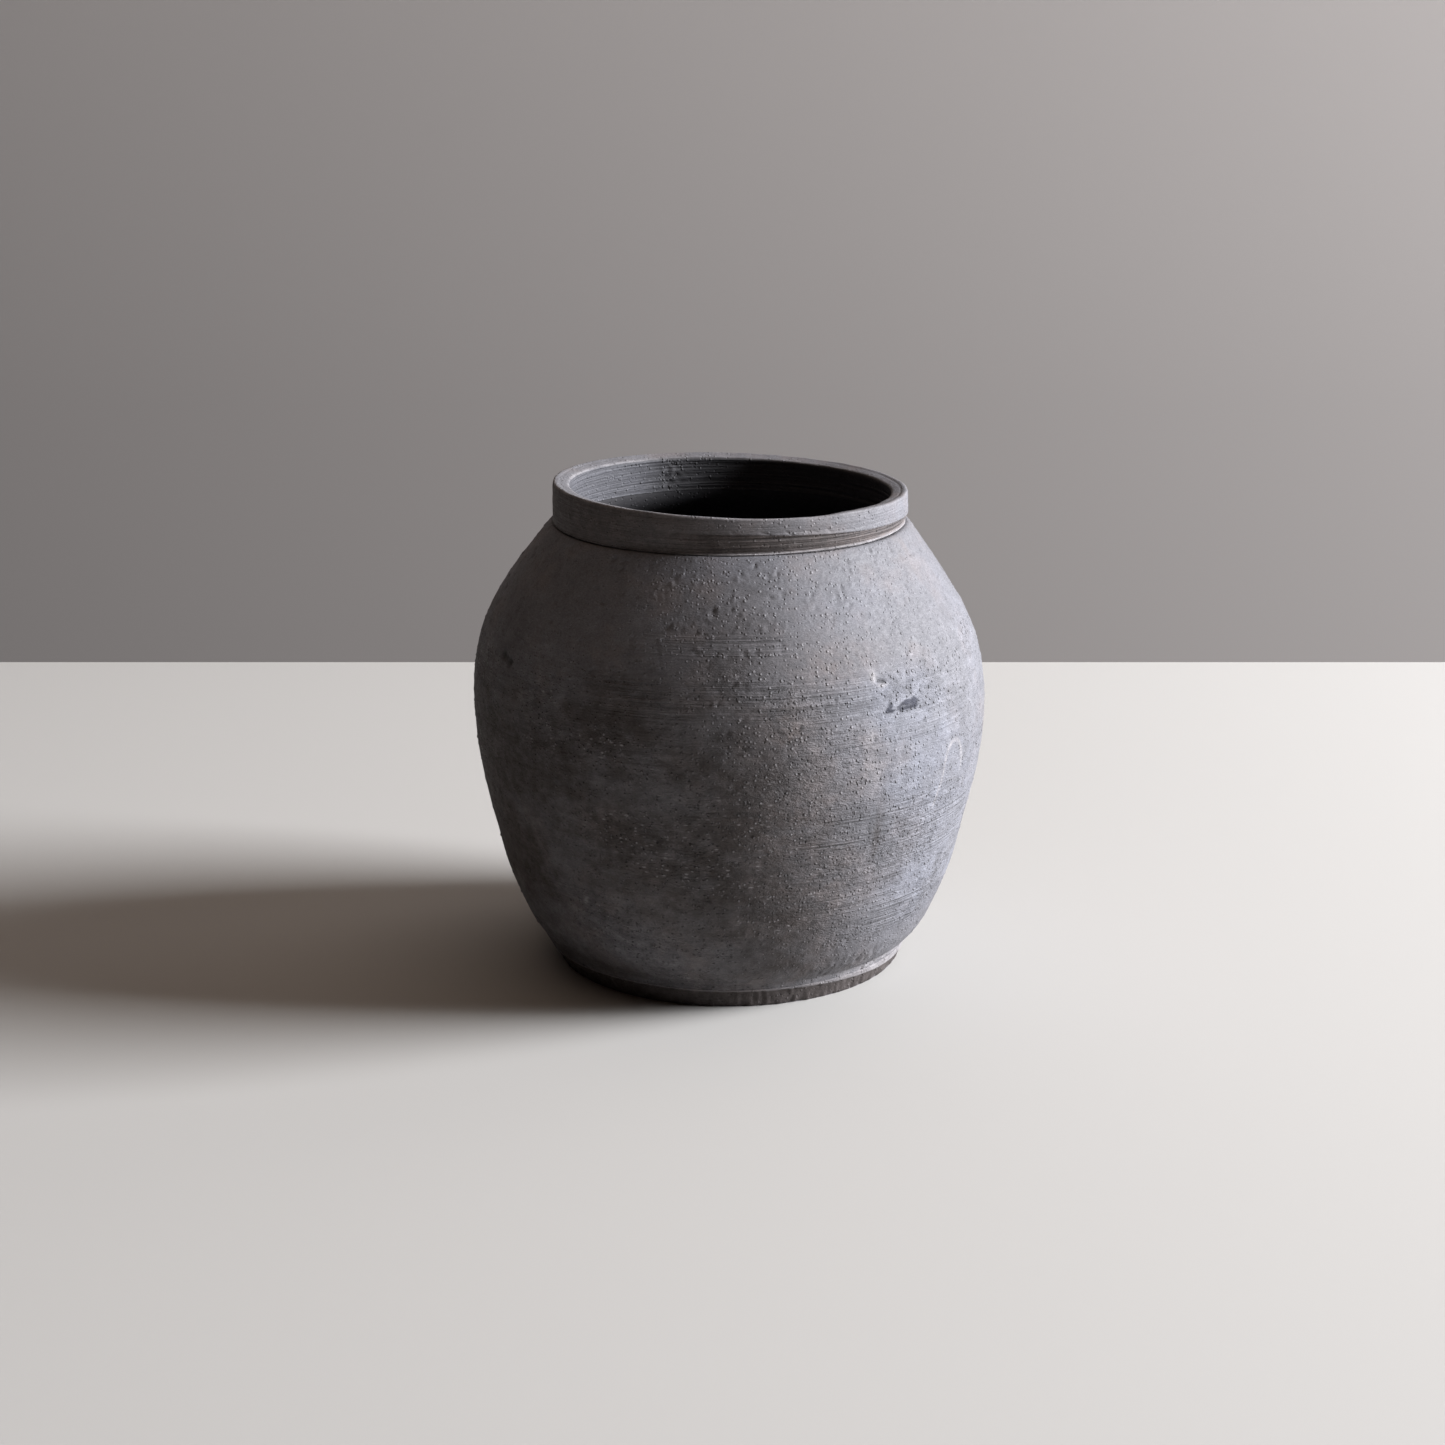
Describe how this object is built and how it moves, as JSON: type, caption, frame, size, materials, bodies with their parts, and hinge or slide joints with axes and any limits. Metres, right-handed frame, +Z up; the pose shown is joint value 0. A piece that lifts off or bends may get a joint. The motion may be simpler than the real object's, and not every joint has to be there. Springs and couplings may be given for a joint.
{
  "type": "stoneware jar vase",
  "caption": "Round-bellied unglazed jar vase with a sloping shoulder, a thick rim collar and a disc foot; holds stems or stands as an ornament.",
  "frame": {"origin": "centre of the underside, on the surface that the jar stands on", "axes": "+Z up along the jar's axis of symmetry; -Y is the side that faces the viewer; +X to the viewer's right"},
  "size_m": [0.23, 0.23, 0.2185],
  "materials": {
    "foot_clay": "unglazed, matt, tool-marked on the edge, slightly polished along the ledge",
    "lower_wall_clay": "unglazed, matt, sandy, with smoky dark and tan fire marks",
    "upper_wall_clay": "unglazed, matt, finely combed round the belly, smoother on the shoulder, pitted",
    "collar_clay": "unglazed, matt, with shallow throwing lines"
  },
  "bodies": {
    "root": {"foot_disc": "foot_clay", "lower_wall": "lower_wall_clay", "upper_wall": "upper_wall_clay", "rim_collar": "collar_clay"}
  },
  "joints": []
}
